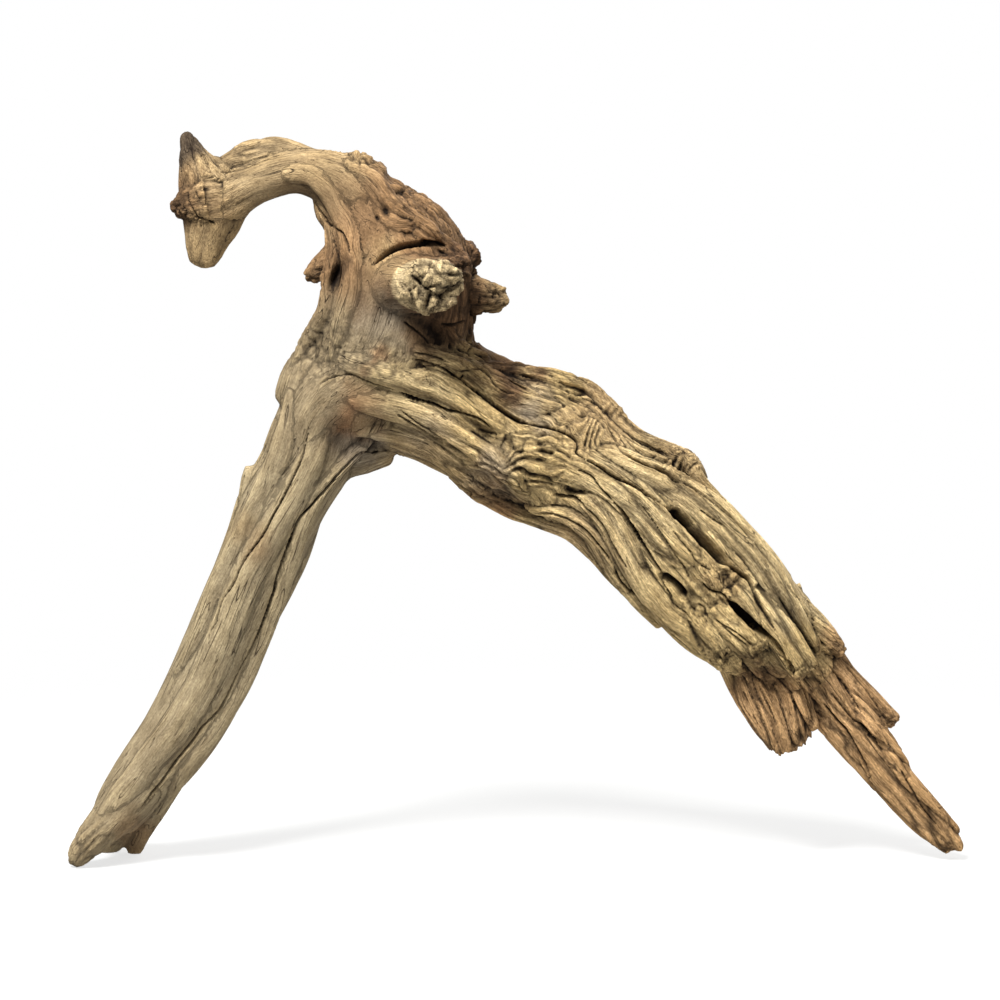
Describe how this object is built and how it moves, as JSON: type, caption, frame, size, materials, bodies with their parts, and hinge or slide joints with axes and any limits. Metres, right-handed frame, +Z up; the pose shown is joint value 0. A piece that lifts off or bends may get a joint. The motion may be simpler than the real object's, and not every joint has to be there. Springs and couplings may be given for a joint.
{
  "type": "piece of driftwood",
  "caption": "Weathered driftwood root crown with a hooked stump, a slim leg and a thick twisted limb ending in broken planks, standing on the tips of its limbs.",
  "frame": {"origin": "on the ground, under the middle of the piece's box", "axes": "+X towards the splintered limb, +Z up, the broken branch knob faces -Y"},
  "size_m": [0.4506, 0.0896, 0.3668],
  "materials": {
    "weathered_wood": "dry, bleached and sandblasted, with long dark drying cracks and fresh brown breaks"
  },
  "bodies": {
    "root": {"driftwood": "weathered_wood"}
  },
  "joints": []
}
